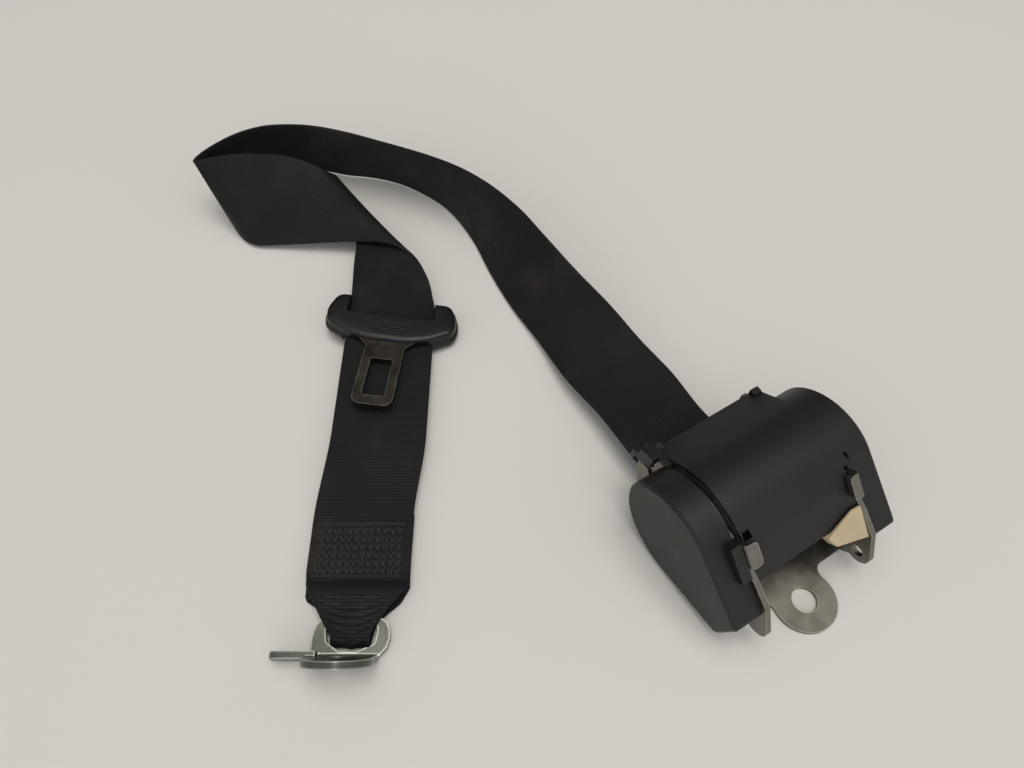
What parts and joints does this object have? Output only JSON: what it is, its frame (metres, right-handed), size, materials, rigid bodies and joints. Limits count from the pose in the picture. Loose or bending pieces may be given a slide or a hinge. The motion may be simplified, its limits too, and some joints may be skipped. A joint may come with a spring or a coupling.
{
  "type": "seat belt",
  "caption": "Inertia-reel seat belt with a webbing strap laid out from its open-sided retractor through a sliding tongue to a bent, slotted anchor plate.",
  "frame": {"origin": "centre of the retractor's bolt hole, on the mounting face at the back of its steel plate", "axes": "+Z out of the mounting face along the bolt, +Y from the bolt hole towards the webbing exit, +X along the reel's axis towards the locking mechanism"},
  "size_m": [0.2559, 0.4018, 0.0585],
  "materials": {
    "zinc_steel": "satin zinc plating",
    "bright_steel": "bright nickel plating",
    "hard_steel": "satin",
    "spring_steel": "blued",
    "die_cast": "as cast",
    "black_plastic": "fine grain",
    "white_nylon": "smooth",
    "cream_nylon": "smooth",
    "webbing": "woven, slight sheen",
    "thread": "twisted thread"
  },
  "bodies": {
    "retractor": {"frame": "zinc_steel", "tie_bar": "zinc_steel", "guard_cover": "black_plastic", "webbing_guide": "black_plastic", "spring_cover": "black_plastic", "spring_plate": "black_plastic", "return_spring": "spring_steel", "bush_left": "white_nylon", "bush_right": "white_nylon", "pawl_pin": "hard_steel", "pawl_block": "cream_nylon", "mechanism_cover": "black_plastic", "sensor_cup": "white_nylon", "sensor_ball": "hard_steel", "exit_clip": "black_plastic", "webbing_exit": "webbing", "webbing_shoulder": "webbing", "webbing_crest": "webbing", "webbing_turn": "webbing", "webbing_front": "webbing", "webbing_fold": "webbing", "webbing_lap": "webbing", "webbing_loop": "webbing", "stitching": "thread"},
    "reel": {"spool": "die_cast", "spool_shaft": "hard_steel", "webbing_pin": "hard_steel", "wound_webbing": "webbing", "lock_ratchet": "hard_steel", "lock_gear": "white_nylon", "inertia_disc": "die_cast", "spring_arbor": "white_nylon"},
    "pawl": {"lock_pawl": "hard_steel"},
    "lever": {"sensor_lever": "white_nylon"},
    "tongue": {"tongue_grip": "black_plastic", "tongue_plate": "bright_steel"},
    "anchor": {"anchor_plate": "zinc_steel"}
  },
  "joints": [
    {"name": "reel_spin", "type": "hinge", "parent": "retractor", "child": "reel", "pos_m": [0, 0.048, 0.03], "axis": [1, 0, 0], "range_deg": [0, 5040], "stiffness_Nm_per_rad": 0.002, "springref_deg": -2864.79},
    {"name": "pawl_swing", "type": "hinge", "parent": "retractor", "child": "pawl", "pos_m": [0.0255, 0.021, 0.01], "axis": [1, 0, 0], "range_deg": [-11, 0], "stiffness_Nm_per_rad": 0.02, "springref_deg": 28.65},
    {"name": "lever_swing", "type": "hinge", "parent": "retractor", "child": "lever", "pos_m": [0.0372, 0.0232, 0.011], "axis": [1, 0, 0], "range_deg": [-9, 0]},
    {"name": "tongue_slide", "type": "slide", "parent": "retractor", "child": "tongue", "axis": [-0.5309, -0.8474, 0], "range_m": [0, 0.06]},
    {"name": "anchor_turn", "type": "hinge", "parent": "retractor", "child": "anchor", "pos_m": [-0.1733, 0.0971, 0.0043], "axis": [-0.848, 0.53, 0], "range_deg": [-30, 60]}
  ]
}
